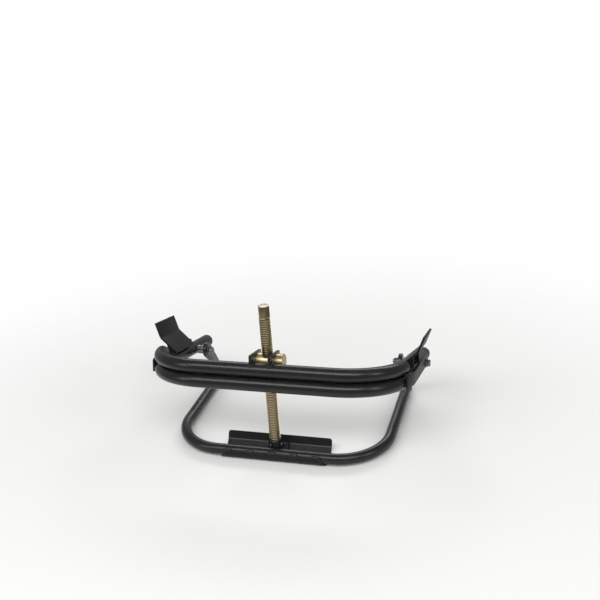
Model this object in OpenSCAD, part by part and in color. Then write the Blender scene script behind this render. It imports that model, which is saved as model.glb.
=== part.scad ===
// Clamp-on wheel lifter: two bent-tube frames hinged behind the tyre and spread apart in front by a screw.
// Millimetres, +Z up, +Y away from the user.
// The origin is on the ground, at the middle of the foot's flat floor.

/* [Tubes] */
// Outer diameter of the upper frame's two stacked tubes
upper_tube_d = 31.8; // [25:0.1:40]
// Outer diameter of the lower frame's tube
lower_tube_d = 25.4; // [20:0.1:32]
// Wall of every tube
tube_wall = 2; // [1.2:0.1:3]

/* [Upper frame] */
// Height of the seam between the stacked tubes above the lower tube's axis, at the crossbar
upper_rise = 200; // [180:1:220]
// How far the upper crossbar stands behind the lower one
upper_back = -6.5; // [-30:0.5:10]
// Slope of the upper frame, falling to the rear
upper_slope = 15; // [10:0.5:20]
// Half the distance between the upper arms' axes
upper_half_w = 289; // [280:1:320]
// Bend radius of the upper tubes, on the axis
upper_bend_r = 132; // [90:1:150]
// Angle of the top tube's bends
top_bend_angle = 77; // [60:1:90]
// Length of the bottom tube's arms behind the hinge
arm_tail = 64; // [50:1:90]

/* [Lower frame] */
// Bend radius of the lower tube, on the axis
lower_bend_r = 114; // [80:1:140]
// Length of the lower arms, from the crossbar's axis
lower_arm_l = 330; // [296:1:345]

/* [Foot] */
// Length of the foot pan along the crossbar
pan_l = 250; // [180:1:300]
// Plate thickness of the foot pan
pan_t = 3; // [2:0.1:5]
// Depth of the pan's flat floor, back from under the crossbar's axis
pan_floor = 40; // [38:1:60]
// Rise of the pan's sloped panel behind the floor
pan_slope_rise = 12; // [6:0.5:20]
// Angle of the sloped panel from level
pan_slope = 45; // [30:1:60]
// Height of the lip above the sloped panel
pan_lip = 18; // [10:0.5:30]
// Lean of the lip from upright
pan_lip_lean = 22; // [0:1:40]
// How far the pan wraps up the front of the crossbar, above level
pan_wrap = 32; // [10:1:60]
// Slant of the wrap's two ends
pan_wrap_slant = 36; // [0:1:45]
// Corner radius of the lip
pan_corner = 6; // [2:0.5:10]

/* [Screw] */
// Outside diameter of the thread
screw_d = 25.4; // [20:0.1:28]
// Depth of the thread
thread_depth = 2.1; // [1:0.1:3]
// Pitch of the thread
thread_pitch = 4.233; // [3:0.001:6]
// Length of the screw from the centre of its ball shoe to its top
screw_l = 348; // [330:1:380]
// Across flats of the hexagon drive
drive_af = 22.2; // [17:0.1:24]
// Length of the hexagon drive
drive_l = 26; // [15:1:35]

/* [Trunnion] */
// Diameter of the trunnion barrel that carries the thread
barrel_d = 36; // [33:0.5:40]
// Height of the barrel's axis above the top tube's axis
barrel_rise = 13; // [8:0.5:18]
// Clear gap between the barrel and the top tube
barrel_gap = 2.5; // [1:0.5:5]
// How far the barrel stands out past the right ear
barrel_stub = 17; // [5:0.5:30]
// How far the barrel stands out past the left ear
barrel_tail = 1; // [0.5:0.5:10]
// Thickness of an ear
ear_t = 6; // [4:0.5:8]
// Gap between the screw and the right ear
ear_near = 1; // [0.8:0.1:15]
// Gap between the screw and the left ear
ear_far = 11; // [0.8:0.1:15]
// How far an ear reaches in front of the crossbar's axis
ear_front = 13; // [4:0.5:14]
// Metal above and below the barrel's hole in an ear
ear_margin = 3.5; // [2:0.5:10]
// Metal behind the barrel's hole in an ear
ear_back = 4; // [2:0.5:14]
// Corner radius of an ear
ear_corner = 3; // [1:0.5:6]

/* [Shoe and socket] */
// Diameter of the shoe's ball
ball_d = 16; // [12:0.5:18]
// Distance of the ball's centre behind the lower crossbar's axis
ball_back = 25; // [25:0.5:32]
// Height of the ball's centre above the lower crossbar's axis
ball_up = 4; // [2:0.5:10]
// Diameter of the neck above the ball
neck_d = 12.5; // [9:0.5:15]
// Diameter of the shoe's collar
collar_d = 26; // [22:0.5:30]
// Height of the shoe's collar
collar_h = 12; // [10:0.5:16]
// Thickness of the shoe's floor under the spigot
shoe_floor = 2; // [1:0.5:4]
// Diameter of the screw's spigot
spigot_d = 12; // [9:0.5:15]
// Diameter of the pin that keeps the shoe on its spigot
shoe_pin_d = 3; // [2:0.5:4]
// Height of the pin above the collar's underside
shoe_pin_up = 7; // [6:0.5:8]
// How far the pin's axis lies outside the spigot's surface
shoe_pin_out = 0.5; // [0:0.1:1]
// How far the pin's ends lie inside the collar's surface
shoe_pin_inset = 0.5; // [0.2:0.1:2]
// Outside diameter of the socket post
socket_d = 27; // [25:0.5:32]
// Height of the socket's rim above the ball's centre
socket_rim = 4; // [2:0.5:6]
// Thickness of the cheeks beside the socket
cheek_t = 4; // [2:0.5:8]
// Gap between the socket and a cheek
cheek_gap = 7.5; // [2:0.5:15]
// Height of a cheek's front edge
cheek_front_h = 6; // [3:0.5:10]
// How far a cheek reaches up the lip above its bend
cheek_rise = 3; // [1:0.5:12]
// Gap between a cheek and the lower crossbar
cheek_clear = 1; // [0.3:0.1:4]

/* [Hinge] */
// Diameter of the hinge bolts
bolt_d = 10; // [8:0.5:14]
// Across flats of the bolt heads and nuts
bolt_af = 16; // [13:0.5:21]
// Thickness of the bolt heads
bolt_head_t = 7.5; // [4:0.1:9]
// Thickness of the lock nuts
bolt_nut_t = 10; // [6:0.1:13]
// Length of a bolt past its nut
bolt_over = 2; // [1:0.5:6]
// Diameter of the hinge washers
hinge_washer_d = 22; // [18:0.5:28]
// Thickness of the hinge washers
hinge_washer_t = 2; // [1:0.1:3]
// Distance of the hinge from the upper crossbar's axis, along the arms
hinge_reach = 288; // [270:1:300]
// Length of the spacer between a lug and the upper arm
spacer_l = 19.6; // [10:0.1:40]
// Thickness of a lug
lug_t = 8; // [5:0.5:10]
// Radius of a lug's eye
lug_eye_r = 19; // [13:0.5:24]
// Width of a lug's foot on the ground
lug_foot = 32; // [24:1:44]
// Height of a lug's upright front edge above the lower arm
lug_knee = 2; // [1:0.5:8]
// Thickness of the lower arms' end caps
cap_t = 3; // [2:0.5:5]

/* [Pads and side plates] */
// Thickness of the tyre pads
pad_t = 5; // [3:0.5:8]
// Length of a pad along the arm
pad_l = 105; // [80:1:110]
// Distance of a pad behind the end of the bends
pad_lead = 18; // [12:0.5:30]
// How far a pad's lower edge lies inside the arm's axis
pad_in = 20; // [18:0.5:28]
// Height of a pad's lower edge above the arm's axis
pad_rise = 22.5; // [22:0.5:36]
// Slope of a pad's lower leg
pad_low_slope = 41; // [30:1:50]
// Slope of a pad's upper leg
pad_high_slope = 69; // [60:1:85]
// Length of the lower leg
pad_low_l = 50; // [44:1:60]
// Length of the upper leg
pad_high_l = 34; // [20:1:60]
// Inside bend radius of a pad
pad_bend_r = 12; // [8:1:24]
// Thickness of a gusset under a pad
gusset_t = 6; // [4:0.5:10]
// Width of a gusset across the arm
gusset_w = 22; // [12:1:26]
// Distance of the gussets from a pad's ends
gusset_inset = 10; // [4:1:24]
// Thickness of the side plates
side_t = 5; // [2:0.5:6]
// Angle over which a side plate follows the outside of the bend
side_wrap_angle = 20; // [1:1:40]
// Length of a side plate behind the hinge
side_tail = 34; // [18:1:44]
// Height of a side plate
side_h = 28; // [20:1:32]
// Height of a side plate's middle above the arm's axis
side_rise = 5; // [-3:0.5:8]
// Corner radius of a side plate
side_corner = 6; // [2:0.5:9]

/* [Plugs] */
// Length of the bottom tube's plug outside the tube
plug_head = 36; // [24:1:45]
// Length of the top tube's plug outside the tube
cap_head = 5; // [3:0.5:10]
// Length of the bottom tube's plug inside the tube
plug_stem = 18; // [10:1:30]
// Length of the top tube's plug inside the tube
cap_stem = 6; // [4:0.5:7]
// Chamfer of a plug's end
plug_chamfer = 2; // [0.5:0.5:4]
// Depth of the two grooves around a bottom plug
groove_depth = 1.6; // [0.5:0.1:3]
// Width of a groove
groove_w = 3; // [1:0.5:4]
// Distance between the grooves, and of the first one from the tube
groove_step = 9; // [5:0.5:10]

/* [Clearances] */
// Gap at a welded seat
weld_gap = 0.2; // [0.1:0.05:0.4]
// Radial clearance of a turning fit
run_fit = 0.05; // [0.02:0.01:0.1]
// Radial clearance of a bolt or pin in a plain hole
hole_fit = 0.15; // [0.1:0.05:0.4]
// Gap between faces that move past each other
face_gap = 0.3; // [0.2:0.05:0.6]
// Room around the ball for the linkage's small side shift
ball_side = 0.8; // [0.6:0.05:1.2]
// Room under the ball for the linkage's small change of length
ball_under = 1.5; // [1.3:0.05:2]

/* [Hidden] */

// Smoothness of round shapes, steps of a bent plate, and a small overrun for cuts, also as an angle
$fn = 64;
bend_steps = 16;
eps = 0.5;
eps_angle = 0.5;

// Shares of the pitch that the thread's crest and each flank take
crest_share = 0.3;
flank_share = 0.15;

// Radii
upper_r = upper_tube_d / 2;
lower_r = lower_tube_d / 2;
screw_r = screw_d / 2;
barrel_r = barrel_d / 2;
ball_r = ball_d / 2;
collar_r = collar_d / 2;
spigot_r = spigot_d / 2;
bolt_r = bolt_d / 2;

// Places of the lower tube's axis over the ground, and of each stacked tube about the seam
axis_y = -pan_floor / 2;
axis_z = lower_r + weld_gap + pan_t;
seam = upper_r + weld_gap / 2;

// A point of the sloped upper frame, as [back, up] from the lower tube's axis
function from_upper(y, z) = [upper_back + y * cos(upper_slope) + z * sin(upper_slope),
                             upper_rise - y * sin(upper_slope) + z * cos(upper_slope)];
hinge = from_upper(hinge_reach, -seam);
barrel_up = seam + barrel_rise;
barrel_back = sqrt(pow(upper_r + barrel_r + barrel_gap, 2) - barrel_rise * barrel_rise);
barrel = from_upper(barrel_back, barrel_up);
ball = [ball_back, ball_up];

// The screw runs from the ball to the barrel
screw_lean = atan2(barrel[0] - ball[0], barrel[1] - ball[1]);
barrel_dist = norm(barrel - ball);

// The foot pan's radius and its two rear bends, as [y, z] from the lower tube's axis, d above the underside
pan_outer = axis_z;
pan_slope_end = pan_floor + pan_slope_rise / tan(pan_slope);
lip_slope = 90 - pan_lip_lean;
lip_along = [cos(lip_slope), sin(lip_slope)];
mid_slope = (pan_slope + lip_slope) / 2;
function floor_bend(d) = [pan_floor - d * tan(pan_slope / 2), d - pan_outer];
function lip_bend(d) = [pan_slope_end, pan_slope_rise - pan_outer]
    + d / cos((lip_slope - pan_slope) / 2) * [-sin(mid_slope), cos(mid_slope)];

// The shoe and the screw's lower end, measured up from the ball's centre
collar_base = ball_r;
spigot_base = collar_base + shoe_floor;
thread_base = collar_base + collar_h + face_gap;
groove_z = collar_base + shoe_pin_up;
shoe_pin_off = spigot_r + shoe_pin_out;
groove_r = shoe_pin_off - shoe_pin_d / 2 - face_gap;

// Along the arms, from the end of the bends
lower_tail = lower_arm_l - lower_bend_r;
bottom_tail = hinge_reach + arm_tail - upper_bend_r;
pad_start = upper_bend_r + pad_lead;

// The pad's lower edge and the middle of its bend, as [x, z] from the upper frame's seam
pad_along = [cos(pad_low_slope), sin(pad_low_slope)];
pad_out = [-sin(pad_low_slope), cos(pad_low_slope)];
pad_edge = [upper_half_w - pad_in, pad_rise - seam];
pad_bend = pad_edge + pad_low_l * pad_along + pad_bend_r * pad_out;

// Across X at a hinge, from the upper arm inwards to the lug and the lower arm behind it, then outwards
arm_in_x = upper_half_w - upper_r;
spacer_x = arm_in_x - weld_gap - spacer_l;
lug_x = spacer_x - face_gap - lug_t;
lower_half_w = lug_x + lug_t / 2;
lug_front = lower_arm_l + weld_gap + cap_t + weld_gap;
side_x = upper_half_w + upper_r + weld_gap;
outer_washer_x = side_x + side_t + weld_gap;
bolt_head_x = outer_washer_x + hinge_washer_t + weld_gap;
inner_washer_x = lug_x - face_gap - hinge_washer_t;
bolt_nut_x = inner_washer_x - weld_gap - bolt_nut_t;
bolt_end_x = bolt_nut_x - bolt_over;

// Across X at the trunnion
ear_right_x = screw_r + ear_near;
ear_left_x = -screw_r - ear_far - ear_t;

// Coordinates that start from the lower tube's axis
module on_axis() translate([0, axis_y, axis_z]) children();

// Coordinates of the sloped upper frame: the seam line of its crossbar
module on_upper() on_axis() translate([0, upper_back, upper_rise]) rotate([-upper_slope, 0, 0]) children();

// Coordinates of the screw: the ball's centre, with +Z up the screw
module on_screw() on_axis() translate([0, ball[0], ball[1]]) rotate([-screw_lean, 0, 0]) children();

// A round bar along X from x0 to x1
module bar_x(x0, x1, r) translate([x0, 0, 0]) rotate([0, 90, 0]) cylinder(h = x1 - x0, r = r);

// A hexagon bar along X from x0 to x1
module hex_x(x0, x1, af) {
    translate([x0, 0, 0]) rotate([0, 90, 0]) cylinder(h = x1 - x0, d = af / cos(30), $fn = 6);
}

// A plate outline in the Y-Z plane, given as [y, z], thickened along X from x0
module plate_x(x0, t) translate([x0, 0, 0]) rotate([90, 0, 90]) linear_extrude(height = t) children();

// The right half repeated on the left
module both() {
    children();
    mirror([1, 0, 0]) children();
}

// The place where a bend of the given sweep ends on the right, with +Z along the tube
module at_bend_end(half_w, bend_r, sweep) {
    translate([half_w - bend_r, bend_r, 0]) rotate([0, 0, sweep - 90]) translate([bend_r, 0, 0])
        rotate([-90, 0, 0]) children();
}

// A rod bent to a bow: crossbar on X, with a bend of the given sweep at each side
module bow(half_w, bend_r, sweep, r) {
    bar_x(-(half_w - bend_r), half_w - bend_r, r);
    both() translate([half_w - bend_r, bend_r, 0]) rotate([0, 0, -90])
        rotate_extrude(angle = sweep) translate([bend_r, 0]) circle(r = r);
}

// A rod bent to a U, with straight arms behind its bends
module u_rod(half_w, bend_r, tail, r) {
    bow(half_w, bend_r, 90, r);
    both() at_bend_end(half_w, bend_r, 90) cylinder(h = tail, r = r);
}

// A tube bent to a U
module u_tube(half_w, bend_r, tail, r) {
    difference() {
        u_rod(half_w, bend_r, tail, r);
        u_rod(half_w, bend_r, tail + eps, r - tube_wall);
    }
}

// A plug for the end of a tube, with its head at +Z and grooves at the given places
module plug(r, stem, head, grooves) {
    stem_r = r - tube_wall - weld_gap;
    neck = r - groove_depth;
    rotate_extrude() polygon(concat(
        [[0, -stem], [stem_r, -stem], [stem_r, 0], [r, 0]],
        [for (g = grooves) each [[r, g], [neck, g], [neck, g + groove_w], [r, g + groove_w]]],
        [[r, head - plug_chamfer], [r - plug_chamfer, head], [0, head]]));
}

// Points of an arc about c, from angle a0 to a1
function arc(c, r, a0, a1) = [for (i = [0:bend_steps]) let (a = a0 + (a1 - a0) * i / bend_steps)
    c + r * [cos(a), sin(a)]];

// A rectangle with round corners, from the point [0, 0]
module round_rect(w, h, r) {
    translate([0, r]) square([w, h - 2 * r]);
    translate([r, 0]) square([w - 2 * r, h]);
    for (x = [r, w - r], y = [r, h - r]) translate([x, y]) circle(r = r);
}

// The two upper tubes' places about the seam
module at_tubes() {
    translate([0, 0, seam]) children();
    translate([0, 0, -seam]) children();
}

module lower_tube() color("#1b1b1c") on_axis() u_tube(lower_half_w, lower_bend_r, lower_tail, lower_r);

module lower_end_caps() {
    color("#1b1b1c") on_axis() both() translate([lower_half_w, lower_arm_l + weld_gap, 0])
        rotate([-90, 0, 0]) cylinder(h = cap_t, r = lower_r);
}

// Section of the foot pan as [y, z] from the tube's axis: front wrap, floor, sloped panel and lip
module pan_section() {
    lip_end = lip_bend(0) + pan_lip / sin(lip_slope) * lip_along;
    lip_back = [pan_t / sin(lip_slope), 0];
    polygon(concat(
        arc([0, 0], pan_outer, 180 - pan_wrap, 270),
        [floor_bend(0), lip_bend(0), lip_end, lip_end - lip_back, lip_bend(pan_t), floor_bend(pan_t)],
        arc([0, 0], pan_outer - pan_t, 270, 180 - pan_wrap)));
}

module foot_pan() {
    lip_top = pan_slope_rise + pan_lip - pan_outer;
    deep = pan_slope_end + pan_lip;
    color("#191919") on_axis() difference() {
        plate_x(-pan_l / 2, pan_l) pan_section();
        // rounded top corners of the lip
        both() translate([pan_l / 2 - pan_corner, pan_slope_end - deep / 2, lip_top - pan_corner])
            difference() {
                cube([2 * pan_corner, deep, 2 * pan_corner]);
                rotate([-90, 0, 0]) cylinder(h = deep, r = pan_corner);
            }
        // slanted ends of the front wrap
        both() translate([pan_l / 2, 0, -pan_outer]) rotate([0, -pan_wrap_slant, 0])
            translate([0, -2 * pan_outer, 0]) cube([pan_outer, 2 * pan_outer - eps, 3 * pan_outer]);
    }
}

// A cheek that stands on the pan beside the socket, from the crossbar to the lip
module cheek() {
    seat = pan_t + weld_gap;
    front = lower_r + cheek_clear;
    color("#161616") on_axis() plate_x(socket_d / 2 + cheek_gap, cheek_t)
        polygon([[front, seat - pan_outer], floor_bend(seat), lip_bend(seat),
                 lip_bend(seat) + cheek_rise / sin(lip_slope) * lip_along,
                 [front, seat - pan_outer + cheek_front_h]]);
}
module cheek_right() cheek();
module cheek_left() mirror([1, 0, 0]) cheek();

// The post that holds the screw's foot, standing on the pan behind the crossbar
module screw_socket() {
    base = -lower_r;
    rim = ball_up + socket_rim;
    seat = ball_up - ball_r - ball_under;
    color("#161616") on_axis() difference() {
        translate([0, ball_back, base]) cylinder(h = rim - base, d = socket_d);
        translate([0, ball_back, seat]) cylinder(h = rim - seat + eps, r = ball_r + ball_side);
        bar_x(-socket_d, socket_d, lower_r + weld_gap);
    }
}

// Point where the tangent from p meets the circle of radius r about c, on the given side
function tangent(p, c, r, side) =
    let (d = norm(c - p), a = atan2(p[1] - c[1], p[0] - c[0]) + side * acos(r / d))
    c + r * [cos(a), sin(a)];

// A lug that stands on the ground, is welded to the lower arm's end cap and carries the hinge
module lug() {
    foot_front = [lug_front, -axis_z];
    foot_rear = foot_front + [lug_foot, 0];
    knee = [lug_front, lower_r + lug_knee];
    color("#1a1a1b") on_axis() difference() {
        plate_x(lug_x, lug_t) {
            translate(hinge) circle(r = lug_eye_r);
            polygon([foot_front, foot_rear, tangent(foot_rear, hinge, lug_eye_r, 1), hinge,
                     tangent(knee, hinge, lug_eye_r, -1), knee]);
        }
        translate([0, hinge[0], hinge[1]]) bar_x(lug_x - eps, lug_x + lug_t + eps, bolt_r + run_fit);
    }
}
module lug_right() lug();
module lug_left() mirror([1, 0, 0]) lug();

module upper_tube_top() {
    color("#1b1b1c") on_upper() translate([0, 0, seam]) difference() {
        bow(upper_half_w, upper_bend_r, top_bend_angle, upper_r);
        bow(upper_half_w, upper_bend_r, top_bend_angle + eps_angle, upper_r - tube_wall);
    }
}

module upper_tube_bottom() {
    color("#1b1b1c") on_upper() difference() {
        translate([0, 0, -seam]) u_tube(upper_half_w, upper_bend_r, bottom_tail, upper_r);
        both() translate([0, hinge_reach, -seam]) bar_x(arm_in_x - eps, side_x + eps, bolt_r + hole_fit);
    }
}

module top_tube_plugs() {
    color("#101010") on_upper() both() translate([0, 0, seam])
        at_bend_end(upper_half_w, upper_bend_r, top_bend_angle) translate([0, 0, weld_gap])
            plug(upper_r, cap_stem, cap_head, []);
}

module bottom_tube_plugs() {
    color("#101010") on_upper() both() translate([0, 0, -seam])
        at_bend_end(upper_half_w, upper_bend_r, 90) translate([0, 0, bottom_tail + weld_gap])
            plug(upper_r, plug_stem, plug_head, [groove_step / 2, 1.5 * groove_step]);
}

// An ear on the upper crossbar from x, with the trunnion's bearing hole
module ear(x) {
    low = barrel_up - barrel_r - ear_margin;
    length = ear_front + barrel_back + barrel_r + ear_back;
    color("#171718") on_upper() difference() {
        plate_x(x, ear_t) translate([-ear_front, low])
            round_rect(length, 2 * (barrel_r + ear_margin), ear_corner);
        translate([0, barrel_back, barrel_up]) bar_x(x - eps, x + ear_t + eps, barrel_r + run_fit);
        at_tubes() bar_x(x - eps, x + ear_t + eps, upper_r + weld_gap);
    }
}
module ear_right() ear(ear_right_x);
module ear_left() ear(ear_left_x);

// A flat bar outside an arm, from the end of the bend to behind the hinge bolt
module side_plate() {
    low = side_rise - seam - side_h / 2;
    length = hinge_reach + side_tail - upper_bend_r;
    bend_x = upper_half_w - upper_bend_r;
    color("#1a1a1b") on_upper() difference() {
        union() {
            plate_x(side_x, side_t) translate([upper_bend_r, low]) {
                round_rect(length, side_h, side_corner);
                square([length / 2, side_h]);
            }
            translate([bend_x, upper_bend_r, low]) mirror([0, 1, 0])
                rotate_extrude(angle = side_wrap_angle)
                    translate([side_x - bend_x, 0]) square([side_t, side_h]);
        }
        translate([0, hinge_reach, -seam]) bar_x(side_x - eps, side_x + side_t + eps, bolt_r + hole_fit);
    }
}
module side_plate_right() side_plate();
module side_plate_left() mirror([1, 0, 0]) side_plate();

// An outline in the X-Z plane, given as [x, z], thickened along the arm from y
module section_y(y, t) translate([0, y + t, 0]) rotate([90, 0, 0]) linear_extrude(height = t) children();

// A tyre pad: a lower leg above the arm, a bend, and an upper leg against the tread
module pad() {
    low = pad_low_slope - 90;
    high = pad_high_slope - 90;
    rise = pad_high_l * [cos(pad_high_slope), sin(pad_high_slope)];
    face_end = pad_bend + pad_bend_r * [cos(high), sin(high)] + rise;
    back_end = face_end + pad_t * [cos(high), sin(high)];
    color("#151515") on_upper() section_y(pad_start, pad_l) polygon(concat(
        [pad_edge], arc(pad_bend, pad_bend_r, low, high), [face_end, back_end],
        arc(pad_bend, pad_bend_r + pad_t, high, low), [pad_edge - pad_t * pad_out]));
}
module pad_right() pad();
module pad_left() mirror([1, 0, 0]) pad();

// Two gussets that carry a pad on its arm
module pad_gussets() {
    reach = pad_low_l + upper_tube_d;
    color("#1a1a1b") on_upper() for (y = [gusset_inset, pad_l - gusset_inset - gusset_t])
        section_y(pad_start + y, gusset_t) difference() {
            translate([upper_half_w - gusset_w / 2, -seam]) square([gusset_w, reach]);
            translate([upper_half_w, -seam]) circle(r = upper_r + weld_gap);
            translate(pad_edge) rotate(pad_low_slope)
                translate([-reach, -pad_t - weld_gap]) square([3 * reach, 2 * reach]);
        }
}
module pad_gussets_right() pad_gussets();
module pad_gussets_left() mirror([1, 0, 0]) pad_gussets();

// Coordinates of the hinge axis
module on_hinge() on_axis() translate([0, hinge[0], hinge[1]]) children();

// A flat ring along X
module ring_x(x, t, d, hole_r) {
    difference() {
        bar_x(x, x + t, d / 2);
        bar_x(x - eps, x + t + eps, hole_r);
    }
}

module hinge_bolts() {
    color("#8c8c8a") on_hinge() both() {
        bar_x(bolt_end_x, bolt_head_x + eps, bolt_r);
        hex_x(bolt_head_x, bolt_head_x + bolt_head_t, bolt_af);
    }
}

module hinge_spacers() {
    color("#8c8c8a") on_hinge() both()
        ring_x(spacer_x, spacer_l, hinge_washer_d, bolt_r + hole_fit);
}

module hinge_inner_washers() {
    color("#8c8c8a") on_hinge() both()
        ring_x(inner_washer_x, hinge_washer_t, hinge_washer_d, bolt_r + hole_fit);
}

module hinge_outer_washers() {
    color("#8c8c8a") on_hinge() both()
        ring_x(outer_washer_x, hinge_washer_t, hinge_washer_d, bolt_r + hole_fit);
}

module hinge_nuts() {
    color("#8c8c8a") on_hinge() both() difference() {
        hex_x(bolt_nut_x, bolt_nut_x + bolt_nut_t, bolt_af);
        bar_x(bolt_nut_x - eps, bolt_nut_x + bolt_nut_t + eps, bolt_r + hole_fit);
    }
}

// The barrel that turns in the ears and takes the screw through its middle
module trunnion_nut() {
    color("#c9a95a") on_screw() difference() {
        translate([0, 0, barrel_dist])
            bar_x(ear_left_x - barrel_tail, ear_right_x + ear_t + barrel_stub, barrel_r);
        translate([0, 0, barrel_dist - barrel_d]) cylinder(h = 2 * barrel_d, r = screw_r + run_fit);
    }
}

// The shoe that the screw turns in: a ball for the socket under a bored collar
module thrust_shoe() {
    color("#202020") on_screw() difference() {
        union() {
            sphere(r = ball_r);
            cylinder(h = collar_base + eps, d = neck_d);
            translate([0, 0, collar_base]) cylinder(h = collar_h, r = collar_r);
        }
        translate([0, 0, spigot_base]) cylinder(h = collar_h, r = spigot_r + run_fit);
        translate([shoe_pin_off, 0, groove_z]) rotate([90, 0, 0])
            cylinder(h = collar_d + 2 * eps, d = shoe_pin_d + 2 * hole_fit, center = true);
    }
}

module shoe_pin() {
    pin_l = 2 * (sqrt(collar_r * collar_r - shoe_pin_off * shoe_pin_off) - shoe_pin_inset);
    color("#9a9a96") on_screw() translate([shoe_pin_off, 0, groove_z]) rotate([90, 0, 0])
        cylinder(h = pin_l, d = shoe_pin_d, center = true);
}

// The screw: a grooved spigot, thread ridges at the true pitch, and a hexagon drive
module lift_screw() {
    root_r = screw_r - thread_depth;
    crest = thread_pitch * crest_share;
    flank = thread_pitch * flank_share;
    thread_end = screw_l - drive_l;
    turns = floor((thread_end - thread_base) / thread_pitch);
    groove_h = shoe_pin_d / 2 + face_gap;
    ridges = [for (i = [0:turns - 1]) let (z = thread_base + i * thread_pitch) each [
        [screw_r, z + flank], [screw_r, z + flank + crest],
        [root_r, z + 2 * flank + crest], [root_r, z + thread_pitch]]];
    color("#c4a24e") on_screw() {
        rotate_extrude() polygon(concat(
            [[0, spigot_base + face_gap], [spigot_r, spigot_base + face_gap],
             [spigot_r, groove_z - groove_h], [groove_r, groove_z - groove_h],
             [groove_r, groove_z + groove_h], [spigot_r, groove_z + groove_h],
             [spigot_r, thread_base], [root_r, thread_base]],
            ridges,
            [[root_r, thread_end], [0, thread_end]]));
        translate([0, 0, thread_end]) cylinder(h = drive_l, d = drive_af / cos(30), $fn = 6);
    }
}

lower_tube();
foot_pan();
screw_socket();
cheek_left();
cheek_right();
lug_left();
lug_right();
lower_end_caps();
upper_tube_top();
upper_tube_bottom();
ear_left();
ear_right();
side_plate_left();
side_plate_right();
pad_left();
pad_right();
pad_gussets_left();
pad_gussets_right();
top_tube_plugs();
bottom_tube_plugs();
hinge_bolts();
hinge_spacers();
hinge_inner_washers();
hinge_outer_washers();
hinge_nuts();
trunnion_nut();
thrust_shoe();
shoe_pin();
lift_screw();
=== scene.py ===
from math import acos, asin, atan2, cos, degrees, pi, radians, sin, sqrt, tan

import bmesh
import bpy
from mathutils import Matrix, Vector


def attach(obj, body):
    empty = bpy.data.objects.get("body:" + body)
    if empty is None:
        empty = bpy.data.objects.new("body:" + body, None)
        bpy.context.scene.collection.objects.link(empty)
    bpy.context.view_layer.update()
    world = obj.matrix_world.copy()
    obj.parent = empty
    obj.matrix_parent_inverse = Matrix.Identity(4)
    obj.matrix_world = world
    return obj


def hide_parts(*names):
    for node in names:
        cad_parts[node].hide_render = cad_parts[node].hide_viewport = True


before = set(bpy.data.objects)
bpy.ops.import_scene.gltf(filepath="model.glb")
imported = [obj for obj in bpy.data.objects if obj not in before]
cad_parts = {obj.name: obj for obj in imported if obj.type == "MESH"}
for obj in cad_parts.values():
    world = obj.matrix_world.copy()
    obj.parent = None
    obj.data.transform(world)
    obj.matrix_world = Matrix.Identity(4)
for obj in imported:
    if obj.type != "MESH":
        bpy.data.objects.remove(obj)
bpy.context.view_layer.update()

# Sizes of the clamp in millimetres and its angles in degrees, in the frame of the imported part
MM = 0.001
WELD_GAP = 0.2
FACE_GAP = 0.3

UPPER_R = 15.9
LOWER_R = 12.7
WALL = 2.0
SEAM = UPPER_R + WELD_GAP / 2
UPPER_HALF = 289.0
UPPER_BEND = 132.0
UPPER_BACK = -6.5
UPPER_RISE = 200.0
UPPER_FALL = 15.0
TOP_SWEEP = 77.0
HINGE_REACH = 288.0
ARM_TAIL = 64.0
BOTTOM_TAIL = HINGE_REACH + ARM_TAIL - UPPER_BEND
LOWER_HALF = 249.0
LOWER_BEND = 114.0
LOWER_ARM = 330.0
LOWER_TAIL = LOWER_ARM - LOWER_BEND
CAP_T = 3.0
CAP_RIM = 0.8

PAN_L = 250.0
PAN_T = 3.0
PAN_IN = LOWER_R + WELD_GAP
PAN_OUT = PAN_IN + PAN_T
PAN_FLOOR = 40.0
PAN_SLOPE = 12.0
PAN_ANGLE = 45.0
PAN_LIP = 18.0
PAN_LEAN = 22.0
PAN_WRAP = 32.0
PAN_SLANT = 36.0
PAN_CORNER = 6.0
PAN_FOLD = 5.0
PAN_RIM = 0.7
PAN_RIM_ANGLE = 55
SOCKET_R = 13.5
CHEEK_GAP = 7.5
CHEEK_X = SOCKET_R + CHEEK_GAP
CHEEK_T = 4.0
CHEEK_CLEAR = 1.0
CHEEK_FRONT = LOWER_R + CHEEK_CLEAR
CHEEK_FRONT_H = 6.0
CHEEK_RISE = 3.0
CHEEK_RIM = 0.6

SCREW_R = 12.7
THREAD_DEPTH = 2.1
PITCH = 4.233
SCREW_L = 348.0
DRIVE_AF = 22.2
DRIVE_L = 26.0
DRIVE_BASE = SCREW_L - DRIVE_L
BALL_R = 8.0
BALL_BACK = 25.0
BALL_UP = 4.0
BALL_TOP = 38.0
NECK_R = 6.2
COLLAR_R = 13.0
COLLAR_H = 12.0
COLLAR_EASE = 1.0
COLLAR_RIM = 1.2
COLLAR_TOP = BALL_R + COLLAR_H
SHOE_FLOOR = 2.0
SPIGOT_R = 6.0
SPIGOT_FIT = 0.1
SPIGOT_GAP = 0.5
SPIGOT_LAP = 0.5
THREAD_BASE = COLLAR_TOP + FACE_GAP

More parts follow.
